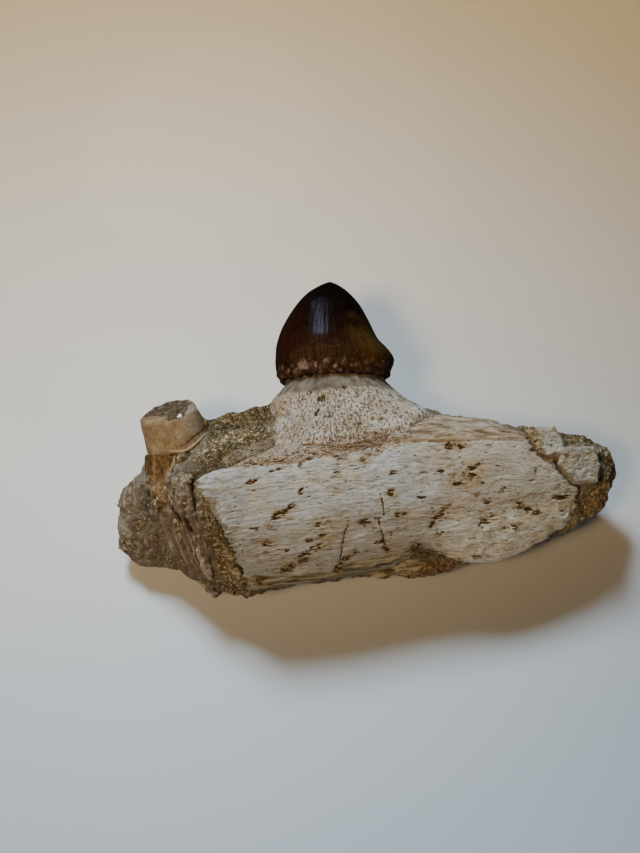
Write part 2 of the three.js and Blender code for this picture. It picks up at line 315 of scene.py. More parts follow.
def weatheringTree():
    tree, add, given = newTree("weathering", weathered)
    place = add("GeometryNodeInputPosition")
    normal = add("GeometryNodeInputNormal")
    # the cast is smoothed, less where its surface turns sharply
    softNormal = add("GeometryNodeBlurAttribute", {0: normal, "Iterations": 8}, data_type="FLOAT_VECTOR")
    unit = add("vector NORMALIZE", softNormal)
    agree = add("vector DOT_PRODUCT", normal, unit, out=1)
    soft = add("range", agree, 0.93, 0.99, 0.06, 1.0)
    smooth = add("GeometryNodeBlurAttribute", {0: place, "Iterations": given["Smoothing"], "Weight": soft},
                 data_type="FLOAT_VECTOR")
    body = add("GeometryNodeSetPosition", {"Geometry": given["Geometry"], "Position": smooth})

    spot = add("GeometryNodeInputNamedAttribute", {"Name": "pattern"}, data_type="FLOAT_VECTOR")
    rough, mark, deep, sunk, astray = [
        add("GeometryNodeInputNamedAttribute", {"Name": name}, data_type="FLOAT") for name in shares]

    # mm that each point rises: lumps, fibres, hollows, flaked sheets and eaten holes
    lump = add("noise", spot, add("math DIVIDE", 1.0, given["Lump Size"]), 4.0, 0.55)
    rise = add("math MULTIPLY", add("math ADD", lump, -0.5), given["Lump"])
    fibre = streaks(add, spot, given["Fibre Size"], given["Fibre Stretch"])
    rise = add("math MULTIPLY_ADD", add("math ADD", fibre, -0.5), given["Fibre"], rise)
    holeSizes = [given["Hollow " + size] for size in ("Spacing", "Stretch", "Width", "Share")]
    hole = hollows(add, spot, *holeSizes)
    rise = add("math SUBTRACT", rise, add("math MULTIPLY", hole, given["Hollow"]))
    rise = add("math MULTIPLY_ADD", rise, rough, given["Grow"])
    sheet = laminae(add, spot, given["Sheet Size"], 9.0, 5.0)
    rise = add("math MULTIPLY_ADD", sheet, given["Sheet"], rise)
    eaten = add("math MULTIPLY", raggedHoles(add, spot, mark, 0.0), deep)
    rise = add("math SUBTRACT", add("math SUBTRACT", rise, eaten), sunk)
    lifted = add("scale", unit, rise)

    stray = add("noise", spot, add("math DIVIDE", 1.0, given["Stray Size"]), 3.0, out=1)
    stray = add("vector ADD", stray, (-0.5, -0.5, -0.5))
    moved = add("vector ADD", lifted, add("scale", stray, astray))

    # fibres stand out of the ends of a bone, where the surface faces along the grain
    end = add("range", add("separate", unit), -0.5, 0.5, -1.0, 1.0)
    split = add("math ADD", streaks(add, spot, 0.9, 6.0, detail=1.0), -0.6)
    out = add("math MULTIPLY", add("math MULTIPLY", split, given["Fray"]), end)
    moved = add("vector ADD", moved, add("combine", out))

    level = add("math MULTIPLY", add("separate", place, out=2), 1 / mm)
    free = add("range", add("math SUBTRACT", level, given["Flat Below"]), 0.0, 1.5, 0.0, mm)
    worn = add("GeometryNodeSetPosition", {"Geometry": body, "Offset": add("scale", moved, free)})
    smoothed = add("GeometryNodeSetShadeSmooth", {"Geometry": worn, "Shade Smooth": True})
    paintAndEnd(add, smoothed, given)
    return tree


weathering = weatheringTree()


def weather(piece, relief, material, pattern, **given):
    store(piece, pattern=pattern, **{**shares, **given})
    applyTree(piece, weathering, {**weathered, **relief, "Material": material})


def finishPiece(piece, node=None):
    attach(piece, "root")
    if node:
        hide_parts(node)
    print(piece.name, len(piece.data.polygons), "faces")


# Camera, lights and floor

studio = {
    "lens": 50.0, "sensor": 36.0, "distance": 300.7, "azimuth": -10.0, "elevation": 65.0,
    "aim": (-7.8, 3.5, 0.8),  # mm from the specimen's middle
    "roomLight": ("#fff0e0", 0.02),
    "floorColour": "#dcdad6", "floorReach": 1.5,  # m
}

# name: azimuth, elevation, distance, width and height, watts, colour, floor spot that it is aimed at or None
# for the specimen, beam in degrees or None for a plain panel. Spots are right and away from the specimen's
# middle, as the camera sees. Only the gleams, a tall window and its side, show in polished surfaces.
lights = {
    "window": (-165.6, 48.0, 600.0, (190, 190), 1.0, "#ffeeac", None, None),
    "sky": (-165.6, 48.0, 600.0, (190, 190), 20.0, "#a4d2ff", (0.0, -130.0), 40.0),
    "sheen": (-165.6, 48.0, 600.0, (190, 190), 5.5, "#e7f8ff", (-90.0, -120.0), 44.0),
    "lamp": (-55.4, 58.4, 600.0, (160, 160), 10.8, "#ffd898", (0.0, 150.0), 40.0),
    "sideLamp": (-55.4, 58.4, 600.0, (160, 160), 3.5, "#ffe9c8", (-90.0, 60.0), 34.0),
    "glow": (-165.0, 34.0, 434.0, (300, 300), 0.2, "#ffa842", (-60.0, 100.0), None),
    "fill": (-42.0, 24.0, 600.0, (300, 300), 0.26, "#eef0f8", None, None),
    "gleam": (-172.5, 28.0, 600.0, (9, 310), 0.13, "#c4d2ff", None, None),
    "gleamSide": (-166.0, 38.0, 600.0, (60, 130), 0.1, "#c4d2ff", None, None),
}


def towards(azimuth, elevation):
    a, e = math.radians(azimuth), math.radians(elevation)
    return Vector((math.sin(a) * math.cos(e), -math.cos(a) * math.cos(e), math.sin(e)))


def aimObject(thing, place, back):
    # at a place in mm, looking the other way from back
    thing.location = place * mm
    thing.rotation_euler = back.to_track_quat("Z", "Y").to_euler()


def setUpStudio():
    aim = Vector(specimenMiddle + np.array(studio["aim"]))
    back = towards(studio["azimuth"], studio["elevation"])
    camera = newObject("camera", bpy.data.cameras.new("camera"))
    camera.data.lens = studio["lens"]
    camera.data.sensor_width = studio["sensor"]
    camera.data.clip_start = 0.01
    aimObject(camera, aim + back * studio["distance"], back)
    bpy.context.scene.camera = camera

    right = Vector((-back.y, back.x, 0)).normalized()
    away = Vector((-back.x, -back.y, 0)).normalized()
    for name, (azimuth, elevation, distance, size, power, colour, spot, beam) in lights.items():
        lamp = bpy.data.lights.new(name, "SPOT" if beam else "AREA")
        if beam:
            lamp.shadow_soft_size = size[0] / 2 * mm
            lamp.spot_size = math.radians(beam)
            lamp.spot_blend = 1.0
        else:
            lamp.shape = "ELLIPSE"
            lamp.size = size[0] * mm
            lamp.size_y = size[1] * mm
        lamp.energy = power
        lamp.color = linear(colour)[:3]
        light = newObject(name, lamp)
        place = aim + towards(azimuth, elevation) * distance
        aimObject(light, place, place - (right * spot[0] + away * spot[1] if spot else aim))
        light.visible_glossy = name.startswith("gleam")
        light.visible_diffuse = not light.visible_glossy

    room = bpy.data.worlds.new("room")
    room.use_nodes = True
    colour, strength = studio["roomLight"]
    fillInputs(room.node_tree, room.node_tree.nodes["Background"], {"Color": colour, "Strength": strength})
    bpy.context.scene.world = room

    # matt pale card: an even surface that takes soft shadows
    card = startMaterial("mattCard")[0]
    finishMaterial(card, studio["floorColour"], {"Roughness": 0.9, "Specular IOR Level": 0.2})
    mesh = bpy.data.meshes.new("floor")
    reach = studio["floorReach"]
    low = -0.02 * mm  # just under the specimen, so that the two never share a plane
    corners = [(-reach, -reach, low), (reach, -reach, low), (reach, reach, low), (-reach, reach, low)]
    mesh.from_pydata(corners, [], [(0, 1, 2, 3)])
    mesh.materials.append(card)
    floor = newObject("floor", mesh)
    floor.visible_glossy = False


setUpStudio()
print("studio ready")


# Materials

def shaded(add, colour, pattern, start, end, dark, light):
    # the colour times dark to light, as the pattern goes from start to end
    return add("mix MULTIPLY", 1.0, colour, add("fade", pattern, start, end, dark, light))


def layered(add, body, layers):
    # each layer of colour lies over the body where the attribute of its name says
    for name, colour in layers.items():
        body = add("mix", add("attribute " + name), body, colour)
    return body


def fossilEnamel():
    # Fossil tooth enamel, stained by iron in the ground and polished by nature: near black at the tip, olive
    # brown and reddish lower down, with fine upright ribs that break up its gloss and a crusty dull rim.
    material, add, place = startMaterial("fossilEnamel")
    height, across = add("separate", place), add("separate", place, out=1)
    cloud = add("noise", place, 0.3, 5.0, 0.6)
    level = add("math ADD", add("fade", height, -1.0, 25.0), add("math MULTIPLY_ADD", cloud, 0.9, -0.45))
    body = add("tones", level, stops=[
        (0.0, "#352413"), (0.2, "#26170c"), (0.45, "#190d07"), (0.7, "#0f0704"), (1.0, "#0a0503")])
    right = add("math MULTIPLY", add("fade", across, 1.0, 9.0, 0.0, 0.85), add("fade", level, 0.75, 0.3))
    body = add("mix", right, body, "#4a3416")
    left = add("math MULTIPLY", add("fade", across, -4.0, -12.0, 0.0, 0.75), add("fade", height, 23.0, 13.0))
    body = add("mix", left, body, "#240c06")
    ribs = streaks(add, place, 0.42, 16.0)
    fleck = add("noise", place, 1.6, 4.0, 0.75)
    body = shaded(add, shaded(add, body, ribs, 0.34, 0.66, 0.72, 1.28), fleck, 0.34, 0.66, 0.7, 1.35)
    grit = add("noise", place, 0.95, 4.0, 0.6)
    rim = add("fade", add("math MULTIPLY_ADD", cloud, 4.0, height), 5.9, 4.1)
    crust = add("fade", add("math MULTIPLY", grit, rim), 0.3, 0.5)
    body = add("mix", crust, body, add("tones", grit, stops=[
        (0.38, "#22140c"), (0.47, "#352216"), (0.55, "#473425"), (0.63, "#5f4b3e"), (0.71, "#907f71")]))
    # painted shadow: a near black wavy band at the foot of the crown, where the overhanging rim shades it
    # against the root
    rimShadow = add("fade", add("math MULTIPLY_ADD", grit, 3.0, height), 1.9, 1.2)
    body = layered(add, add("mix", rimShadow, body, "#120806"), {"stain": "#6d5849"})
    gloss = add("math MULTIPLY_ADD", crust, 0.35, 0.18)
    relief = add("math MULTIPLY_ADD", ribs, 0.3, streaks(add, place, 0.5, 40.0, detail=1.0))
    relief = add("math MULTIPLY_ADD", fleck, 0.3, relief)
    return finishMaterial(material, body, {"Roughness": gloss, "IOR": 1.5}, relief, 0.085)


def pores(add, place, fade):
    # vessel holes of spongy bone, drawn out down the root, and a few wider ones
    fine = add("fade", streaks(add, place, 0.28, 2.8, detail=2.0), 0.49, 0.4, 0.0, 0.9)
    wide = hollows(add, place, 1.3, 1.7, 0.22, 0.4)
    return add("math MULTIPLY", add("math MAXIMUM", wide, fine), fade)


def porousBody(add, place):
    # pinkish grey with paler and browner clouds
    body = add("tones", add("noise", place, 0.16, 5.0), stops=[
        (0.32, "#95836a"), (0.45, "#a49582"), (0.56, "#aea192"), (0.68, "#9e8c71")])
    return shaded(add, body, add("noise", place, 2.4, 4.0, 0.7), 0.32, 0.66, 0.7, 1.25)


def porousRoot():
    # Cementum of the tooth's root, spongy bone full of vessel holes: chalky pinkish grey with dark pores
    # that run down from the neck, and a smoother greyer band under the crown.
    material, add, place = startMaterial("porousRoot")
    height, across = add("separate", place), add("separate", place, out=1)
    rust = add("fade", add("noise", place, 0.4, 3.0), 0.6, 0.72, 0.0, 0.5)
    rust = add("math MAXIMUM", rust, add("fade", height, -9.0, -5.0, 0.0, 0.3))
    body = add("mix", rust, porousBody(add, place), "#857048")
    wave = add("noise", place, 0.3, 3.0)
    band = add("fade", add("math MULTIPLY_ADD", wave, 3.0, height), -4.0, -3.2)
    body = add("mix", band, body, add("tones", add("noise", place, 0.5, 4.0), stops=[
        (0.35, "#4b4437"), (0.5, "#655b4e"), (0.64, "#756d60")]))
    body = add("mix ADD", add("fade", across, -2.0, 9.0, 0.0, 0.38), body, body)
    ragged = add("noise", place, 0.9, 4.0)
    foot = add("fade", add("math MULTIPLY", add("attribute foot"), ragged), 0.3, 0.6, 0.0, 0.35)
    body = add("mix", foot, body, "#94694a")
    holes = pores(add, place, add("math SUBTRACT", 1.0, band))
    body = add("mix", add("math MULTIPLY", holes, 0.8), body, "#3f3124")
    mark = add("attribute mark")
    fringe = add("math MULTIPLY", raggedHoles(add, place, mark, 0.4), 0.7)
    body = add("mix", fringe, body, "#7f6c49")
    body = add("mix", raggedHoles(add, place, mark, 0.0), body, "#3f3320")
    relief = add("math SUBTRACT", ragged, holes)
    return finishMaterial(material, body, {"Roughness": 0.85, "Specular IOR Level": 0.3}, relief, 0.15)


def weatheredBone():
    # Fossil jaw bone, split along its fibres and bleached: chalky cream white with fine streaks along the
    # grain, short dark vessel holes, ochre iron stains, and olive brown where it is broken along its border.
    material, add, place = startMaterial("weatheredBone")
    along = add("separate", place)
    cloud = add("noise", place, 0.085, 5.0, 0.6)
    wide, fine = streaks(add, place, 1.1, 7.0, detail=4.0), streaks(add, place, 0.28, 10.0)
    body = add("tones", cloud, stops=[
        (0.34, "#b1a58e"), (0.43, "#b6afa3"), (0.5, "#b7b6b0"), (0.57, "#b1b0a9"), (0.66, "#b9b1a0")])
    body = shaded(add, shaded(add, body, wide, 0.32, 0.68, 0.86, 1.08), along, -44.0, -20.0, 0.76, 1.0)
    body = add("mix", add("fade", along, -5.0, 25.0), body, add("mix MULTIPLY", 1.0, body, "#fff3e2"))
    lip = add("fade", laminae(add, place, 3.0, 9.0, 5.0), 0.08, 0.0, 0.0, 0.3)
    body = shaded(add, add("mix", lip, body, "#7a6a50"), fine, 0.32, 0.66, 0.82, 1.12)
    body = shaded(add, body, add("noise", place, 1.7, 3.0, 0.7), 0.34, 0.66, 0.88, 1.1)
    fissure = add("fade", add("math MULTIPLY_ADD", cloud, 0.35, fine), 0.56, 0.47, 0.0, 0.85)
    rust = add("fade", streaks(add, place, 2.6, 3.0, detail=4.0), 0.55, 0.74, 0.0, 0.3)
    body = add("mix", rust, add("mix", fissure, body, "#665a45"), "#9c8d6c")

    # near the tooth the bone turns spongy and pinkish
    spongy = add("math MULTIPLY", add("attribute nearRoot"), add("noise", place, 0.6, 4.0))
    spongy = add("fade", spongy, 0.24, 0.4)
    body = add("mix", spongy, body, add("mix MULTIPLY", 1.0, porousBody(add, place), "#f4ece5"))

    edge = add("tones", wide, stops=[
        (0.36, "#4c3f2c"), (0.46, "#7a6c50"), (0.55, "#998b6e"), (0.66, "#bbb096")])
    edge = shaded(add, shaded(add, edge, along, -30.0, -12.0, 1.0, 0.88), fine, 0.32, 0.66, 0.7, 1.15)
    ledge = add("tones", wide, stops=[(0.37, "#6d543a"), (0.47, "#937b5e"), (0.58, "#b3a28c")])
    ledge = shaded(add, ledge, fine, 0.32, 0.66, 0.75, 1.12)
    body = layered(add, body, {"border": edge, "ledge": ledge})
    fleck = add("fade", add("noise", place, 0.9, 4.0), 0.36, 0.62, 0.15, 0.85)
    body = add("mix", add("math MULTIPLY", add("attribute stain"), fleck), body, "#967c49")
    mark = add("attribute mark")
    fringe = add("math MULTIPLY", raggedHoles(add, place, mark, 0.5), 0.7)
    body = add("mix", fringe, body, add("tones", cloud, stops=[
        (0.42, "#84693d"), (0.5, "#8a744d"), (0.57, "#7f5c46")]))
    short, long = hollows(add, place, 0.8, 3.6, 0.2, 0.5), hollows(add, place, 2.1, 3.8, 0.13, 0.4)
    holes = add("math MULTIPLY", add("math MAXIMUM", short, long), 0.85)
    holes = add("math MAXIMUM", holes, pores(add, place, spongy))
    holes = add("math MAXIMUM", holes, add("math MULTIPLY", raggedHoles(add, place, mark, 0.0), 0.9))
    body = add("mix", holes, body, "#45341f")
    # painted light: where the attribute says, the bone is brightened by a pale bluish copy of itself
    body = add("mix ADD", add("attribute bleached"), body, add("mix MULTIPLY", 1.0, body, "#d8eeff"))
    relief = add("math SUBTRACT", add("math SUBTRACT", fine, holes), fissure)
    return finishMaterial(material, body, {"Roughness": 0.8, "Specular IOR Level": 0.35}, relief, 0.08)


def sandColours(add, place):
    # grains about half a millimetre across, cream, ochre and brown, in a dull cement
    cells = add("cells", place, 1 / 0.55)
    body = add("tones", add("separate", cells.node.outputs["Color"]), stops=[
        (0.0, "#544732"), (0.3, "#7c6d55"), (0.6, "#9a8d75"), (0.85, "#b8ab93"), (0.97, "#dfd6c4")])
    return add("mix", add("fade", cells, 0.42, 0.75, 0.0, 0.75), body, "#594b38"), cells


def splinteredBone():
    # Inner jaw bone split into long strips: taupe on their crests, with sand caught in the clefts and along
    # the side that is still bedded.
    material, add, place = startMaterial("splinteredBone")
    wide, fine = streaks(add, place, 1.5, 10.0), streaks(add, place, 0.35, 9.0)
    body = add("tones", wide, stops=[
        (0.36, "#44382c"), (0.45, "#685848"), (0.54, "#7e6e5d"), (0.66, "#988b7b")])
    body = shaded(add, body, fine, 0.32, 0.68, 0.7, 1.2)
    rust = add("noise", place, 0.3, 5.0, 0.65)
    body = add("mix", add("fade", rust, 0.54, 0.66, 0.0, 0.6), body, "#5f463a")
    body = add("mix", add("fade", rust, 0.44, 0.36, 0.0, 0.5), body, "#6a6352")
    bedded = add("fade", add("math MULTIPLY", add("attribute sandy"), rust), 0.22, 0.3)
    caught = add("fade", add("math MULTIPLY_ADD", rust, 0.5, wide), 0.72, 0.66)
    sand = add("mix MULTIPLY", 1.0, sandColours(add, place)[0], "#e8e2d8")
    body = add("mix", 0.15, add("mix", add("math MAXIMUM", caught, bedded), body, sand), "#5c5c5a")
    pale = shaded(add, "#a29480", fine, 0.32, 0.68, 0.75, 1.15)
    # painted shade: the clefts are darkened near black, while the pale splinters keep their own paler colour
    body = layered(add, body, {"cleft": "#34281c", "pale": pale})
    return finishMaterial(material, body, {"Roughness": 0.88, "Specular IOR Level": 0.25}, fine, 0.15)


def amberDentine():
    # Dentine of the broken tooth, dense and waxy: smooth tan to amber sides with faint upright streaks, and
    # a dull dark rough break.
    material, add, place = startMaterial("amberDentine")
    cloud = add("noise", place, 0.2, 4.0)
    body = add("tones", cloud, stops=[
        (0.34, "#938066"), (0.46, "#856e4f"), (0.56, "#796143"), (0.68, "#8d795d")])
    shoulder = add("math MULTIPLY_ADD", cloud, 0.8, add("attribute shoulder"))
    body = add("mix", add("fade", shoulder, 0.6, 1.3, 0.0, 0.8), body, "#8b7c68")
    body = shaded(add, body, streaks(add, place, 0.5, 10.0), 0.3, 0.7, 0.8, 1.14)
    grit = add("noise", place, 1.1, 5.0, 0.7)
    rubble = add("tones", grit, stops=[
        (0.35, "#2b2117"), (0.48, "#483b2c"), (0.58, "#655643"), (0.68, "#85765f")])
    body = layered(add, shaded(add, body, grit, 0.34, 0.66, 0.88, 1.1), {
        "broken": rubble, "collar": "#b39d7e", "rusty": "#7d5420", "scar": "#4a3826", "stain": "#e0d8ca"})
    gloss = add("math MULTIPLY_ADD", add("attribute broken"), 0.35, 0.5)
    waxy = {"Roughness": gloss, "Specular IOR Level": 0.4, "Subsurface Weight": 0.12,
            "Subsurface Radius": (1.0, 0.6, 0.35), "Subsurface Scale": 0.8 * mm}
    return finishMaterial(material, body, waxy, grit, 0.08)


def ochreBone():
    # Root bone of the broken tooth, soaked with iron: orange brown, with paler ribs, going under the sand.
    material, add, place = startMaterial("ochreBone")
    ribs = streaks(add, place, 1.3, 2.6, detail=4.0)
    body = add("tones", ribs, stops=[
        (0.36, "#3f2b16"), (0.46, "#533b20"), (0.56, "#64492a"), (0.68, "#7e6541")])
    fleck = add("noise", place, 1.2, 4.0)
    body = shaded(add, body, fleck, 0.34, 0.66, 0.75, 1.15)
    covered = add("fade", add("math MULTIPLY", fleck, add("attribute sandy")), 0.2, 0.34)
    body = add("mix", covered, body, add("mix MULTIPLY", 1.0, sandColours(add, place)[0], "#cfc5b4"))
    body = layered(add, body, {"worn": shaded(add, "#876b4c", ribs, 0.34, 0.66, 0.7, 1.2)})
    return finishMaterial(material, body, {"Roughness": 0.8}, ribs, 0.25)


def sandyMatrix():
    # Phosphate sandstone, loosely cemented: dull olive brown made of cream, ochre and dark grains about half
    # a millimetre across, greyer and finer against the bone.
    material, add, place = startMaterial("sandyMatrix")
    body, cells = sandColours(add, place)
    cloud = add("noise", place, 0.16, 6.0, 0.65)
    body = add("mix MULTIPLY", 0.9, body, add("tones", cloud, stops=[
        (0.34, "#a39d92"), (0.45, "#c8c0b0"), (0.55, "#dccdb2"), (0.66, "#f0e4cc")]))
    grey = add("fade", add("math MULTIPLY", cloud, add("attribute nearBone")), 0.3, 0.5, 0.0, 0.6)
    cream = add("tones", streaks(add, place, 0.6, 6.0), stops=[
        (0.36, "#5c4a30"), (0.46, "#8f7f5d"), (0.56, "#b3a582"), (0.66, "#c9bd9e")])
    rusty = add("tones", add("noise", place, 1.2, 4.0, 0.7), stops=[
        (0.38, "#41301f"), (0.47, "#7c5d41"), (0.56, "#a28461"), (0.66, "#c8b696")])
    body = add("mix", grey, body, "#6e6653")
    body = layered(add, body, {"plane": "#8f8874", "cream": cream, "rusty": rusty})
    spongy = add("fade", add("math MULTIPLY", add("attribute spongy"), cloud), 0.24, 0.36)
    body = add("mix", spongy, body, porousBody(add, place))
    body = add("mix", pores(add, place, spongy), body, "#453829")
    body = layered(add, body, {"earthy": add("mix MULTIPLY", 1.0, body, "#c3bcb0")})
    # a paler cream-grey patch below the right chips, its sand doubled in brightness: painted light against
    # the shade there
    body = layered(add, body, {"pale": add("mix", 0.3, add("mix ADD", 1.0, body, body), "#94866c")})
    body = add("mix", add("fade", add("separate", place), -34.0, -46.0, 0.0, 0.3), body, "#65625b")
    relief = add("math SUBTRACT", 1.0, cells)
    return finishMaterial(material, body, {"Roughness": 0.92, "Specular IOR Level": 0.25}, relief, 0.2)


def looseGrain():
    # Single grains of quartz, tooth and phosphate that stand out of the matrix, a few of them pale.
    material, add, _ = startMaterial("looseGrain")
    body = add("tones", add("attribute tone"), stops=[
        (0.0, "#4a3e2d"), (0.3, "#685a46"), (0.6, "#82745c"), (0.86, "#96886f"), (0.95, "#a99b81"),
        (0.99, "#c9bea8")])
    return finishMaterial(material, body, {"Roughness": 0.6})


enamel = fossilEnamel()
rootBone = porousRoot()
whiteBone = weatheredBone()
greyBone = splinteredBone()
dentine = amberDentine()
rustyBone = ochreBone()
sandstone = sandyMatrix()
grainStone = looseGrain()
print("materials ready")


# The whole tooth: crown and root are one loft each, round the same axis

tooth = {
    "rise": 14.0, "lean": 7.5,  # degrees
    "neckFromCrownMiddle": (-0.8, -10.64, -1.28),  # mm
    "step": 0.24,  # mm between the loft's points along the tooth
    "aroundCrown": 360, "aroundRoot": 520,  # how many of them go round it
    "patternRadius": 13.0,  # the pattern is wrapped on a round bar of this size, so it has no seam
    "seat": 1.2,  # mm that the crown's rim sits lower on its upper side
    "crownRelief": {
        "Smoothing": 0, "Grow": 0.0, "Lump": 2.8, "Lump Size": 1.7,
        "Fibre": 0.25, "Fibre Size": 0.8, "Fibre Stretch": 14.0},
    "rootRelief": {
        "Smoothing": 0, "Grow": 0.05, "Lump": 0.8, "Lump Size": 2.8,
        "Fibre": 0.55, "Fibre Size": 0.5, "Fibre Stretch": 2.4,
        "Hollow": 0.25, "Hollow Spacing": 1.3, "Hollow Stretch": 1.9,
        "Hollow Width": 0.3, "Hollow Share": 0.4},
    "rimSpot": (-7.8, 1.2, 1.3),  # a pale scar on the rim: across, height, reach
    # larger pits in the root, in mm from its middle, with their reach
    "pits": [
        (-5.7, 2.6, 14.9, 1.3), (-7.4, -1.3, 15.3, 1.2), (-4.7, -2.3, 16.0, 1.3), (-10.1, 3.6, 13.1, 1.0),
        (-10.6, 6.7, 12.0, 1.0), (-7.8, 5.3, 13.8, 1.0), (0.5, 4.6, 15.0, 0.8), (-2.6, 6.2, 14.2, 0.8)],
    # height up the tooth, then the reach to the left, right, top and underside
    "crown": [
        [-0.4, 11.6, 11.9, 10.5, 10.3], [0.0, 13.2, 13.5, 12.1, 11.9], [1.6, 14.4, 14.5, 13.3, 12.9],
        [4.2, 14.9, 15.5, 13.9, 13.3], [6.4, 14.8, 14.4, 13.6, 12.9], [9.5, 14.4, 11.8, 12.6, 11.8],
        [13.9, 12.8, 9.9, 10.4, 9.5], [19.2, 9.5, 7.4, 7.2, 6.4], [22.8, 6.2, 4.6, 4.4, 4.0],
        [24.8, 3.0, 2.2, 2.2, 2.0], [25.9, 0.5, 0.3, 0.3, 0.3]],
    "root": [
        [-25.0, 22.5, 21.0, 13.4, 13.0], [-21.0, 23.5, 25.0, 15.8, 15.5], [-16.6, 20.9, 27.0, 16.6, 16.0],
        [-11.5, 16.6, 25.5, 15.6, 15.6], [-8.6, 16.7, 21.6, 14.2, 14.6], [-5.8, 16.3, 17.4, 13.0, 13.2],
        [-3.0, 13.9, 14.4, 12.1, 12.0], [-1.4, 12.7, 13.1, 11.6, 11.4], [0.4, 12.2, 12.5, 11.1, 10.9]],
}


def reaches(profile, heights):
    # smooth curve through the profile's rows, with the slope at a row taken from its neighbours
    rows = np.array(profile)
    i = np.clip(np.searchsorted(rows[:, 0], heights, side="right") - 1, 0, len(rows) - 2)
    start, end = rows[i], rows[i + 1]
    before, after = rows[np.maximum(i - 1, 0)], rows[np.minimum(i + 2, len(rows) - 1)]
    span = (end - start)[:, :1]
    slopeIn = (end - before)[:, 1:] / (end - before)[:, :1] * span
    slopeOut = (after - start)[:, 1:] / (after - start)[:, :1] * span
    t = (heights[:, None] - start[:, :1]) / span
    rest = 1 - t
    return (start[:, 1:] * (1 + 2 * t) * rest ** 2 + slopeIn * t * rest ** 2
            + end[:, 1:] * t ** 2 * (3 - 2 * t) - slopeOut * t ** 2 * rest)


def toothLoft(name, profile, around, seat=0.0):
    # rows are one step apart along the left outline, and each side of a row has a reach of its own
    fine = np.linspace(profile[0][0], profile[-1][0], 2000)
    length = np.concatenate([[0], np.cumsum(np.hypot(np.diff(fine), np.diff(reaches(profile, fine)[:, 0])))])
    rows = int(length[-1] / tooth["step"])
    heights = np.interp(np.linspace(0, length[-1], rows), length, fine)
    left, right, top, under = reaches(profile, heights).T[:, :, None]
    turn = np.linspace(0, 2 * np.pi, around, endpoint=False)[None, :]
    across = np.cos(turn) * np.where(np.cos(turn) > 0, right, left)
    up = np.sin(turn) * np.where(np.sin(turn) > 0, top, under)
    height = np.repeat(heights[:, None], around, 1)
    seated = height - seat * ramp(up, 2.0, 10.0) * ramp(height, 6.0, 0.5)
    local = np.stack([across, seated, up], -1).reshape(-1, 3)
    rise = Matrix.Rotation(math.radians(tooth["rise"]), 3, "X")
    lean = Matrix.Rotation(math.radians(-tooth["lean"]), 3, "Z")
    neck = nodeMiddle("tooth_crown") + np.array(tooth["neckFromCrownMiddle"])
    points = local @ np.array(lean @ rise).T + neck
    here = np.arange((rows - 1) * around)
    beside = here // around * around + (here + 1) % around
    faces = np.stack([here, here + around, beside + around, beside], -1).tolist()
    faces.append(list(range(around)))
    faces.append(list(range(rows * around - 1, (rows - 1) * around - 1, -1)))
    mesh = bpy.data.meshes.new(name)
    mesh.from_pydata((points * mm).tolist(), [], faces)
    piece = newObject(name, mesh)
    tidy = bmesh.new()
    tidy.from_mesh(mesh)
    bmesh.ops.recalc_face_normals(tidy, faces=tidy.faces)
    tidy.to_mesh(mesh)
    tidy.free()
    radius = tooth["patternRadius"]
    bar = np.stack([height, radius * np.cos(turn) + 0 * height, radius * np.sin(turn) + 0 * height], -1)
    return piece, local, bar.reshape(-1, 3), points


def makeCrown():
    piece, local, bar, _ = toothLoft("toothCrown", tooth["crown"], tooth["aroundCrown"], tooth["seat"])
    across, height, up = local.T
    rim = ramp(height + wander(bar, 2.5)[:, 0], 3.3, 0.8)  # only the rim is rough
    x, y, size = tooth["rimSpot"]
    spot = np.hypot(across - x, height - y) + wander(bar, 0.8)[:, 1] * 0.5
    store(piece, stain=ramp(spot, size, size * 0.5) * (up > 0))
    weather(piece, tooth["crownRelief"], enamel, bar, rough=(0.015 + rim) * ramp(height, 25.8, 23.5))
    finishPiece(piece, "tooth_crown")


def makeRoot():
    piece, local, bar, points = toothLoft("toothRoot", tooth["root"], tooth["aroundRoot"])
    rough = 0.15 + 0.85 * ramp(local[:, 1], -1.6, -3.2)  # smooth just under the crown
    wanderedTo = points + wander(points, 1.6) * 0.5 - nodeMiddle("tooth_root")
    pits = np.max([ramp(np.linalg.norm(wanderedTo - spot, axis=1), size * 1.3, size * 0.4)
                   for *spot, size in tooth["pits"]], axis=0)
    fillet = -0.9 * ramp(distanceTo(points, ["jaw_bone"], 3.0), 2.4, 0.2)  # it swells into the jaw bone
    store(piece, foot=ramp(points[:, 1], -6.5, -10.5))
    weather(piece, tooth["rootRelief"], rootBone, bar, rough=rough, mark=pits, deep=0.5, sunk=fillet)
    finishPiece(piece, "tooth_root")


makeCrown()
makeRoot()


# The jaw bone

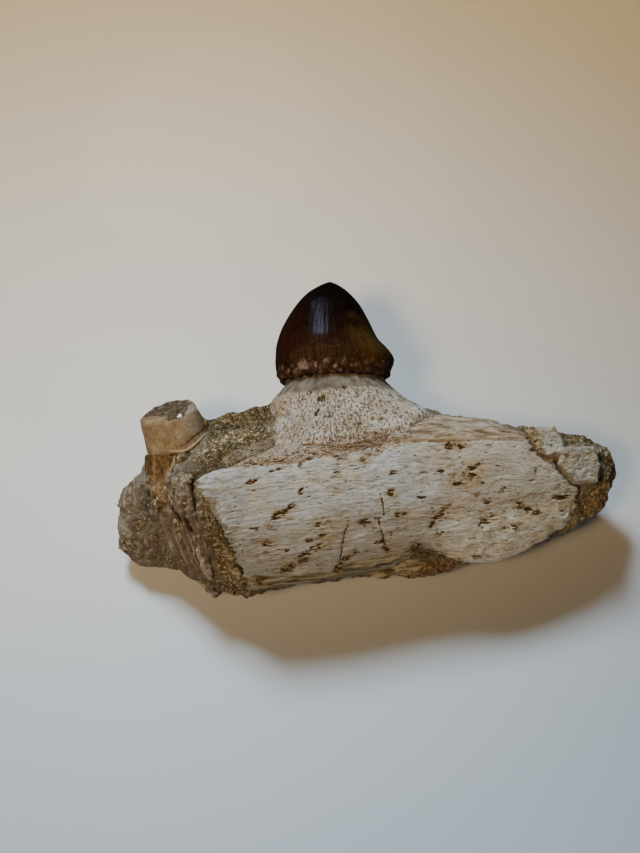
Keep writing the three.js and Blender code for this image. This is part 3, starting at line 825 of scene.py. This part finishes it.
bone = {
    "voxel": 0.27,
    "relief": {
        "Smoothing": 90, "Grow": 0.2, "Stray Size": 4.0, "Lump": 0.4, "Lump Size": 7.0,
        "Fibre": 0.12, "Fibre Size": 0.6, "Fibre Stretch": 10.0, "Fray": 3.2,
        "Sheet": 0.1, "Sheet Size": 3.0, "Hollow": 0.35, "Hollow Spacing": 2.2, "Hollow Stretch": 3.8,
        "Hollow Width": 0.14, "Hollow Share": 0.3},
    "grain": (0.08, 0.001),  # its fibres run down to the right by this slope, and bend by this much a mm
    "stripTop": 20.6,  # height of the olive strip along its lower border
    "tanBand": (13.9, 8.7, 32.4, 6.9),  # the tan ledge along the upper right edge lies above this line
    # the white face ends at this line, given by x and y, and spongy bone starts
    "shelf": [(-38.0, 9.9), (-31.0, 8.6), (-24.0, 7.9), (-20.0, 7.4), (-15.0, 8.4), (2.0, 8.3)],
    # what can be told apart on its face: x and y from the bone's middle, length, width, turn, depth, stain
    "marks": [
        (-32.6, 5.4, 2.6, 1.3, 17, 0.6, 0.2), (-34.1, 3.5, 6.5, 0.5, -6, 0.25, 0),
        (-27.0, -2.4, 4.6, 1.6, 10, 0.8, 0.9), (-23.6, -1.3, 2.6, 1.3, 8, 0.9, 0.3),
        (-20.9, 1.5, 2.0, 1.2, 40, 0.5, 0), (-26.1, 7.1, 3.4, 0.6, 10, 0.5, 0.2),
        (-20.3, 7.2, 1.4, 0.9, -20, 0.5, 0.4), (-11.3, 8.2, 1.6, 0.8, 0, 0.5, 0.2),
        (-5.3, 6.4, 3.0, 1.5, 0, 0.3, 1), (-12.0, 4.4, 2.0, 0.7, 4, 0.5, 0.2),
        (1.4, 2.7, 1.3, 0.9, -10, 0.5, 0.1), (-1.3, 8.3, 0.9, 0.7, 0, 0.5, 0),
        (0.1, -2.0, 2.0, 1.4, -40, 0.4, 0.9), (0.4, -1.0, 3.6, 0.5, 4, 0.4, 0.3),
        (1.3, -6.1, 2.8, 1.0, 4, 0.5, 0.8), (-7.6, -6.8, 3.0, 1.4, -8, 0.55, 0.4),
        (-4.3, -6.4, 1.8, 0.5, 4, 0.4, 0), (-18.3, -5.5, 7.8, 0.5, -6, 0.3, 0.4),
        (-18.4, -5.8, 1.2, 0.8, 0, 0.5, 0.3), (-20.8, -8.5, 2.3, 0.7, -20, 0.5, 0.3),
        (-17.8, -8.1, 2.8, 0.6, 3, 0.5, 0.3), (-29.9, -4.7, 1.5, 1.1, 0, 0.5, 0.5),
        (-33.6, -4.3, 2.0, 0.8, -8, 0.5, 0.1), (-30.7, -7.5, 3.4, 1.4, -6, 0.4, 0.8),
        (-26.5, -12.6, 4.4, 1.4, 6, 0.4, 0.5), (-22.8, -11.4, 4.0, 2.0, 12, 0.38, 0.6),
        (-19.4, -10.2, 3.4, 1.2, 8, 0.4, 0.4), (-14.6, -14.0, 3.0, 1.8, 35, 0.8, 0.5),
        (-12.6, -12.7, 3.0, 1.2, 14, 0.6, 0.4), (-10.2, -12.1, 1.4, 0.9, 0, 0.6, 0.3),
        (-26.3, -9.6, 1.3, 0.7, 0, 0.4, 0.2), (-3.9, -10.9, 3.2, 0.9, 0, 0.5, 0.3),
        (-3.2, -12.0, 1.6, 1.0, -30, 0.5, 0.3), (-1.4, -9.6, 1.3, 0.8, 10, 0.6, 0.1),
        (-34.2, -14.2, 2.8, 0.9, -50, 0.8, 0.4), (4.3, -12.6, 3.2, 1.4, 10, 0.7, 0.4),
        (15.9, 7.2, 2.2, 1.8, 0, 0.7, 0.6), (18.6, 7.0, 3.4, 1.5, -6, 0.7, 0.8),
        (21.1, 1.6, 4.4, 1.2, 14, 0.6, 0.5), (18.2, -0.9, 7.2, 3.0, 4, 0.2, 1),
        (16.6, -1.6, 2.4, 0.9, -14, 0.6, 0.6), (20.2, -0.2, 2.6, 0.9, -8, 0.6, 0.6),
        (12.9, 1.4, 1.8, 1.0, 0, 0.6, 0.3), (22.5, -2.0, 1.8, 0.9, -10, 0.5, 0.1),
        (26.9, -4.4, 2.4, 1.3, 14, 0.4, 0.3), (22.9, -6.3, 1.9, 1.3, -20, 0.6, 0.6),
        (30.6, -8.0, 2.6, 1.6, -20, 0.7, 0.8), (32.6, -9.0, 2.6, 1.4, -38, 0.7, 0.7),
        (34.9, -9.8, 2.4, 1.2, -6, 0.5, 0.5), (9.0, -9.0, 2.6, 1.3, 40, 0.6, 0.8),
        (11.0, -7.4, 3.2, 1.4, 28, 0.5, 0.9), (13.2, -6.0, 2.0, 0.9, 16, 0.5, 0.6),
        (7.0, -3.5, 2.2, 0.9, -12, 0.6, 0.2), (20.7, -4.9, 1.6, 0.7, 8, 0.4, 0.3),
        (23.5, -9.1, 2.6, 0.7, -4, 0.7, 0.2), (21.8, -10.2, 2.4, 1.0, -12, 0.5, 0.9),
        (20.3, -11.0, 1.6, 0.9, -16, 0.6, 0.3), (26.6, -12.2, 2.2, 0.8, 4, 0.4, 0.3),
        (28.9, -12.3, 2.0, 1.4, -30, 0.8, 0.5), (10.2, -11.3, 2.6, 0.8, -6, 0.6, 0.1),
        (18.6, -16.9, 2.6, 1.0, -26, 0.7, 0.2), (15.0, -16.4, 1.4, 0.8, -20, 0.5, 0.2),
        (35.9, -1.3, 1.8, 1.0, 0, 0.4, 0.1), (41.2, -7.4, 3.6, 1.1, -4, 0.6, 0.2),
        (36.9, -12.5, 3.0, 2.0, 0, 0.05, 0.5), (-29.5, 9.6, 12, 2.2, -6, 0.3, 0.4),
        (-18.0, 8.6, 6, 1.2, 0, 0.25, 0.3), (-14.9, 9.2, 4.4, 1.8, 4, 0.2, 0.8),
        (1.6, 9.5, 3.4, 2.0, 0, 0.1, 0.7), (31, -14.6, 11, 2.6, 14, 0, 0.2),
        (-1, -12.6, 18, 1.8, 5, 0, 0.35), (3.0, 9.7, 5.4, 1.8, 0, 0.1, 0.9),
        (12.0, 9.3, 13, 0.7, -3, 0.1, 0.6)],
    # fine cracks down the face: width, then x and y from the bone's middle
    "cracks": [
        (0.36, (-2.6, -1.6), (-2.3, -4.0), (-2.5, -6.0)),
        (0.36, (-4.0, -6.6), (-3.4, -9.2), (-3.0, -11.4), (-2.6, -13.0)),
        (0.28, (-11.0, -6.4), (-12.4, -8.2), (-13.5, -11.2), (-14.5, -13.2))],
}


def markFields(points, facing, middle):
    # the eaten region, its depth in mm and the stain at each point of an upper face
    drift = wander(points, 2.2) * 0.35
    local = (points - middle)[:, :2]
    x, y = (local + drift[:, :2] * (1.6, 0.7)).T
    region, depth, stain = np.zeros((3, len(points)))
    for centreX, centreY, length, width, turn, deep, tint in bone["marks"]:
        c, s = math.cos(math.radians(turn)), math.sin(math.radians(turn))
        along = ((x - centreX) * c + (y - centreY) * s) / (length / 2)
        across = ((y - centreY) * c - (x - centreX) * s) / (width / 2)
        away = np.hypot(along, across)
        region = np.maximum(region, ramp(away, 1.6, 0.5) * min(1.0, deep * 2.2))
        depth = np.maximum(depth, deep * ramp(away, 1.5, 0.8))
        stain = np.maximum(stain, tint * ramp(away, 2.2, 0.8))
    for width, *route in bone["cracks"]:
        groove = ramp(awayFromLine(local + drift[:, :1] * (0.4, 0.0), route) / (width / 2), 1.5, 0.5)
        region = np.maximum(region, 1.25 * groove)
        depth = np.maximum(depth, 0.2 * groove)
    return region * facing, depth * facing, stain * facing


def makeJawBone():
    piece = castOf("jawBone", "jaw_bone", bone["voxel"])
    points, normals = perPoint(piece) / mm, perPoint(piece, "vertex_normals", "vector")
    middle = nodeMiddle("jaw_bone")
    x, y, z = (points - middle).T
    region, depth, stain = markFields(points, ramp(normals[:, 2], 0.15, 0.4), middle)
    wavy = wander(points * (0.4, 1, 1), 2.0)[:, 1]
    # where it turns under along its lower border, and the olive strip at the left of that
    turnedUnder = ramp(normals[:, 2] + wavy * 0.15, 0.4, 0.2) * ramp(normals[:, 1], -0.2, -0.6)
    stripTop = bone["stripTop"] + 1.7 * wander(points * (1, 0, 0), 7.0)[:, 0] + wavy * 0.8
    stripTop += 0.9 * ramp(x, -14.0, -2.0)
    strip = ramp(points[:, 2], stripTop, stripTop - 0.5) * ramp(x, 9.0, 5.0) * ramp(y, -8.0, -10.0)
    # the tan ledge, with a groove along its brink
    x0, y0, x1, y1 = bone["tanBand"]
    below = y - (y0 + (y1 - y0) * (x - x0) / (x1 - x0)) + wavy * 0.4
    bandPart = ramp(x, x0 - 12, x0 - 4)
    brink = ramp(np.abs(below + 0.2), 0.5, 0.1) * bandPart
    # the shelf of spongy bone beside the tooth, and painted light that makes the lower right of the face
    # paler, where it slopes away from the lamps
    above = y - np.interp(x, *np.array(bone["shelf"]).T) + wavy * 0.8
    shelf = ramp(above, -0.3, 0.5) * ramp(x, 3.0, 0.0) * ramp(x, -41.0, -37.0)
    toRoot = distanceTo(points, ["tooth_root"], 8.0)
    paintedLightLowRight = 0.75 * ramp(y, -5.0, -12.0) * ramp(x, 2.0, 16.0)
    # painted light lightens the lower right of the face and the olive strip from its middle rightwards,
    # which face down
    store(piece, stain=stain, ledge=0.9 * (ramp(below, 0.0, 0.4) * bandPart),
          border=np.maximum(turnedUnder, strip),
          bleached=np.maximum(paintedLightLowRight, 0.6 * strip * ramp(x, -20.0, -8.0)),
          nearRoot=np.maximum(ramp(toRoot + wavy * 1.5, 4.5, 1.0), shelf))
    # its outline wanders more at the broken ends and along the lower right
    ends = ramp(np.abs(x), 36.0, 44.0)
    lowRight = ramp(y, -9.0, -12.0) * ramp(x, 12.0, 18.0)
    slope, bend = bone["grain"]
    pattern = np.stack([x, y + slope * x + bend * x ** 2, z], -1)
    weather(piece, bone["relief"], whiteBone, pattern, rough=1 + 2 * strip, mark=region, deep=depth,
            stray=0.6 + 1.8 * ends + 0.5 * lowRight,
            sunk=0.8 * ramp(toRoot, 3.5, 0.3) + 0.5 * strip + 0.35 * brink + 0.35 * shelf)
    finishPiece(piece, "jaw_bone")


makeJawBone()


# Broken ends and chips of bone

chipRelief = {
    "Smoothing": 3, "Lump": 0.3, "Lump Size": 2.5, "Fibre": 0.4, "Fibre Size": 0.6, "Fibre Stretch": 12.0,
    "Sheet": 0.15, "Sheet Size": 2.0, "Stray Size": 1.6}
lumpRelief = {
    "Smoothing": 6, "Lump": 1.2, "Lump Size": 2.5, "Fibre": 1.5, "Fibre Size": 1.2, "Fibre Stretch": 8.0}
endRelief = {
    "Smoothing": 20, "Lump": 2.0, "Lump Size": 4.0, "Fibre": 3.2, "Fibre Size": 1.6, "Fibre Stretch": 9.0}
splinters = {
    # node: piece name, the direction of its grain, material, slot, how it is weathered
    "end_bone": ("endBone", (0.2, -0.72, -0.67), greyBone, "end_bone", endRelief),
    "left_chip": ("leftChip", (0.5, 0.86, 0.2), greyBone, "end_bone", {**lumpRelief, "Fibre": 1.0}),
    "lump_chip": ("lumpChip", (0.64, 0.76, 0.0), greyBone, "end_bone", lumpRelief),
    "upper_chip": ("upperChip", (1.0, 0.07, 0.0), whiteBone, "jaw_bone", chipRelief),
    "right_chip": ("rightChip", (1.0, 0.05, 0.0), whiteBone, "jaw_bone", chipRelief),
}

endDetail = {
    "voxel": 0.2,
    "ridge": [(-44.9, -11.2, 28.9), (-43.2, -18.0, 25.6), (-40.7, -23.3, 21.0), (-42.6, -25.5, 17.1),
              (-41.0, -31.1, 9.5)],
    "sandFrom": 2.0,  # mm to the right of the ridge
    # width, then a route
    "pale": [(0.9, (-42.0, -23.6, 20.4), (-40.7, -29.4, 14.6)),
             (0.8, (-44.0, -28.5, 8.9), (-40.2, -31.9, 9.1))],
    "clefts": [(1.2, (-47.4, -13.6, 24.4), (-46.3, -17.0, 23.0)),
               (1.0, (-44.0, -17.5, 25.2), (-42.8, -20.5, 23.3)),
               (1.4, (-51.6, -16.4, 14.6), (-49.6, -18.0, 14.6))],
}


def chipFields(piece, node, points):
    # the left part of the upper chip is browner and eaten
    torn, middle = wander(points, 1.5)[:, 1], nodeMiddle(node)[0]
    left = ramp(points[:, 0] + torn, middle - 0.5, middle - 2.0) * (node == "upper_chip")
    # painted light lightens the chips by about a fifth all over
    store(piece, stain=0.45 + 0.1 * left, border=0.42 + 0.4 * left, bleached=0.2)
    return {"mark": 0.6 * left, "deep": 0.2}


def endFields(piece, node, points):
    # pale splinters stand out beside clefts that are sunk and darkened with painted shade, and sand covers
    # the end bone beyond its ridge
    torn = wander(points, 1.5)
    pale, cleft = [
        np.max([besideLine(points + torn * 0.4, route, width) for width, *route in endDetail[kind]], axis=0)
        for kind in ("pale", "clefts")]
    cleft = cleft * (0.35 + 0.65 * ramp(wander(points, 0.8)[:, 0], -0.25, 0.2))
    ridge = np.array(endDetail["ridge"])[::-1]
    beyond = points[:, 0] - np.interp(points[:, 1], ridge[:, 1], ridge[:, 0]) + torn[:, 0] * 1.2
    sandy = ramp(beyond, endDetail["sandFrom"] - 0.5, endDetail["sandFrom"] + 1.5) * (node == "end_bone")
    store(piece, pale=pale, cleft=cleft, sandy=sandy, bare=sandy)
    crest = besideLine(points, endDetail["ridge"], 2.5)
    return {"sunk": cleft - (0.9 * pale + 0.5 * crest) * ramp(points[:, 2], 10.0, 13.0)}


def makeSplinters():
    made = {}
    for node, (name, grain, material, slot, relief) in splinters.items():
        piece = castOf(name, node, endDetail["voxel"])
        points = perPoint(piece) / mm
        fields = (chipFields if material == whiteBone else endFields)(piece, node, points)
        relief = {"Grow": 0.25, "Stray Size": 3.0, **relief}
        weather(piece, relief, material, alignedTo(points - nodeMiddle(node), grain), stray=0.9, **fields)
        finishPiece(piece, node)
        made[name] = piece
    return made


broken = makeSplinters()


# The broken tooth

stub = {
    "voxel": 0.2, "rootVoxel": 0.25, "rise": 21.0, "breakTilt": 21.0,
    "relief": {"Smoothing": 40, "Grow": 0.1, "Lump": 2.2, "Lump Size": 2.4},
    "rootRelief": {"Smoothing": 20, "Grow": 0.2, "Lump": 1.4, "Lump Size": 3.0,
                   "Fibre": 1.2, "Fibre Size": 1.3, "Fibre Stretch": 2.6},
    "breakEdge": 2.9,  # how high up the stump, as it is seen from the front, its break begins
    "breakRight": 3.2,  # how far right the break reaches, where a smooth shoulder takes over
    # spots as they are seen from the front: right and up from its middle, then reach
    "bite": (0.9, 3.3, 1.75),  # a small round bite out of the break's edge
    "whiteBit": (1.7, 3.3, 0.55),
    "horn": (3.4, 5.8, 3.0, 0.9),  # the break's right corner, which stands up by so many mm more
    # the pale lip round its right foot, and how far from it a dark line runs
    "collar": [(-2.7, -7.9, 4.9), (0.8, -8.8, 5.1), (2.9, -8.3, 4.8), (5.8, -5.9, 4.0), (7.9, -3.2, 2.0)],
    "underCollar": (-0.5, 0.8, 0.9),
    "rustyBead": (8.0, -0.6, 1.8, 1.6),  # place from its middle, and reach
    "rootTip": (-48.6, -9.4), "rootSpread": 0.5,  # the root shows as a V above this tip
}


def makeStub():
    piece = castOf("brokenTooth", "broken_tooth", stub["voxel"])
    points, normals = perPoint(piece) / mm, perPoint(piece, "vertex_normals", "vector")
    torn = wander(points, 1.2)
    points = points - nodeMiddle("broken_tooth")
    tilt = math.radians(stub["rise"] + stub["breakTilt"])
    facing = ramp(normals @ np.array([-0.09, math.cos(tilt), math.sin(tilt)]), 0.6, 0.8)
    front = towards(studio["azimuth"], studio["elevation"])
    right = Vector((-front.y, front.x, 0)).normalized()
    rightward, upward = points @ np.array(right), points @ np.array(front.cross(right))
    # the rough break, a bite out of its edge and a white bit on it
    edge = upward + torn[:, 0] * 0.5
    limit = stub["breakRight"] + 0.7 * (upward - stub["breakEdge"]) + torn[:, 1] * 0.5
    broken = facing * ramp(edge, stub["breakEdge"], stub["breakEdge"] + 0.4)
    broken = broken * ramp(rightward, limit, limit - 0.5)
    x, y, radius = stub["bite"]
    bite = np.hypot(rightward - x, upward - y)
    scar = ramp(np.abs(bite - radius), 0.4, 0.15) * (upward < y + 0.4) * facing
    x, y, size = stub["whiteBit"]
    white = ramp(np.hypot(rightward - x, upward - y) + torn[:, 2] * 0.5, size, size * 0.6)
    # the collar, a dark line under it and a rusty bead
    collar = besideLine(points + torn * 0.15, stub["collar"], 0.48) * ramp(rightward, -2.0, 3.0)
    line = besideLine(points + torn * 0.15 - stub["underCollar"], stub["collar"], 0.5)
    scar = np.maximum(scar, 0.4 * (line * ramp(rightward, 0.5, 3.0)))
    *centre, size = stub["rustyBead"]
    bead = ramp(np.linalg.norm(points - centre, axis=1), size, 0.8)
    store(piece, broken=np.maximum(broken, ramp(bite, radius, radius - 0.3) * facing), collar=collar,
          rusty=bead, scar=scar, stain=white * facing,
          shoulder=ramp(rightward, 1.5, 4.5) * ramp(upward, -3.5, 0.5))
    x, y, size, rise = stub["horn"]
    lift = 0.8 * ramp(upward, 3.5, 6.0) + rise * ramp(np.hypot(rightward - x, upward - y), size, 0.5)
    pattern = turned(points, -stub["rise"], "X")[:, [1, 0, 2]]
    weather(piece, stub["relief"], dentine, pattern, rough=0.1 + 0.9 * broken,
            sunk=0.3 * scar + 0.3 * broken - 0.2 * collar - 0.5 * bead - lift)
    finishPiece(piece, "broken_tooth")

    piece = castOf("brokenToothRoot", "broken_tooth_root", stub["rootVoxel"])
    points = perPoint(piece) / mm
    tipX, tipY = stub["rootTip"]
    # sand lies beside the V, and the bone is worn paler towards its tip
    outside = np.abs(points[:, 0] - tipX) - stub["rootSpread"] * (points[:, 1] - tipY)
    torn = wander(points, 1.5)[:, 0]
    store(piece, sandy=ramp(outside, -0.6, 0.8),
          worn=0.75 * ramp(points[:, 1] + torn, -4.5, -7.5) * ramp(outside + torn, 2.6, 1.2))
    weather(piece, stub["rootRelief"], rustyBone, turned(points - nodeMiddle("broken_tooth_root"), 70))
    finishPiece(piece, "broken_tooth_root")


makeStub()


# The matrix and its grains

rock = {
    "voxel": 0.4,
    "fillet": 0.7,  # mm that the rock creeps up the pieces bedded in it
    "nearBone": 4.0, "bareFrom": 0.6,  # mm from them where it turns greyer, and where loose grains begin
    "relief": {
        "Smoothing": 25, "Grow": 0.15, "Lump": 2.6, "Lump Size": 3.0, "Flat Below": 0.05,
        "Hollow": -0.25, "Hollow Spacing": 1.1, "Hollow Stretch": 1.0,
        "Hollow Width": 0.5, "Hollow Share": 0.5},
    # patches of another look: reach, then a route through them
    "patches": {
        "spongy": [(3.5, (-31.0, -7.5, 33.0), (-24.0, -5.0, 32.0), (-17.0, -4.0, 30.0))],
        "cream": [(2.4, (-3.0, -36.0, 13.0), (3.0, -35.5, 13.5), (9.0, -35.0, 14.0)),
                  (1.3, (-34.5, -29.8, 18.1), (-33.6, -31.5, 16.5)),
                  (0.9, (-36.6, -25.0, 22.0), (-35.0, -27.0, 20.5))],
        "rusty": [(5.0, (13.0, -36.5, 11.0), (20.0, -35.5, 11.0))],
        "plane": [(3.0, (-61.5, -7.5, 12.0), (-60.5, -12.0, 11.0))],
        "earthy": [(10.0, (-36.0, 7.0, 24.0), (-29.0, 8.0, 24.0), (-21.0, 9.0, 23.0)),
                   (6.0, (-40.0, -8.0, 31.0), (-31.0, -6.0, 32.0), (-22.0, -4.0, 31.0)),
                   (3.5, (-53.4, -6.0, 21.0), (-53.0, -12.0, 19.0))],
        # the pale patch is cream-grey sand made brighter with painted light, against the shade below the
        # chips
        "pale": [(7.0, (59.0, -19.0, 22.0), (57.0, -26.0, 20.0), (52.0, -31.0, 18.0))],
    },
}


def makeMatrix():
    piece = castOf("sandyRock", "matrix", rock["voxel"])
    points = perPoint(piece) / mm
    neighbours = [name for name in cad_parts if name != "matrix"]
    away = distanceTo(points, neighbours, rock["nearBone"])
    bare = (away > rock["bareFrom"]) * (points[:, 2] > 1.0)
    store(piece, bare=bare, nearBone=ramp(away, rock["nearBone"], 1.0))
    torn = wander(points, 1.6)
    for field, patches in rock["patches"].items():
        share = np.zeros(len(points))
        for width, *route in patches:
            share = np.maximum(share, besideLine(points + torn * width * 0.35, route, width))
        store(piece, **{field: share})
    fillet = -rock["fillet"] * ramp(away, 2.2, 0.4)
    fillet = fillet * (1 + 0.9 * ramp(points[:, 0], 36.0, 41.0))  # thicker at the right end
    weather(piece, rock["relief"], sandstone, points, stray=0.8, sunk=fillet)
    finishPiece(piece, "matrix")
    return piece


grainSizes = {"Density": 1.0, "Smallest": 0.2, "Largest": 0.5, "Seed": 7, "Material": ""}


def grainTree():
    tree, add, given = newTree("grains", grainSizes)
    bare = add("GeometryNodeInputNamedAttribute", {"Name": "bare"}, data_type="FLOAT")
    whole = add("math GREATER_THAN", bare, 0.95)
    density = add("math MULTIPLY", given["Density"], 1 / mm ** 2)
    density = add("math MULTIPLY", density, whole)
    points = add("GeometryNodeDistributePointsOnFaces",
                 {"Mesh": given["Geometry"], "Density": density, "Seed": given["Seed"]})
    pebble = add("GeometryNodeMeshIcoSphere", {"Radius": 0.5 * mm, "Subdivisions": 1})
    squash = add("FunctionNodeRandomValue", {0: (0.55, 0.55, 0.4), 1: (1.0, 1.0, 0.8)},
                 data_type="FLOAT_VECTOR")
    size = add("FunctionNodeRandomValue", {2: given["Smallest"], 3: given["Largest"], "Seed": 2}, out=1,
               data_type="FLOAT")
    scale = add("scale", squash, size)
    turn = add("FunctionNodeRandomValue", {0: (0.0, 0.0, 0.0), 1: (6.28, 6.28, 6.28), "Seed": 3},
               data_type="FLOAT_VECTOR")
    stones = add("GeometryNodeInstanceOnPoints",
                 {"Points": points, "Instance": pebble, "Rotation": turn, "Scale": scale})
    tone = add("FunctionNodeRandomValue", {2: 0.0, 3: 1.0, "Seed": 5}, out=1, data_type="FLOAT")
    toned = add("GeometryNodeStoreNamedAttribute", {"Geometry": stones, "Name": "tone", "Value": tone},
                data_type="FLOAT", domain="INSTANCE")
    paintAndEnd(add, toned, given)
    return tree


def makeGrains():
    tree = grainTree()
    for name, host in {"matrixGrains": makeMatrix(), "endGrains": broken["endBone"]}.items():
        piece = newObject(name, host.data.copy())
        applyTree(piece, tree, {**grainSizes, "Material": grainStone})
        finishPiece(piece)


makeGrains()
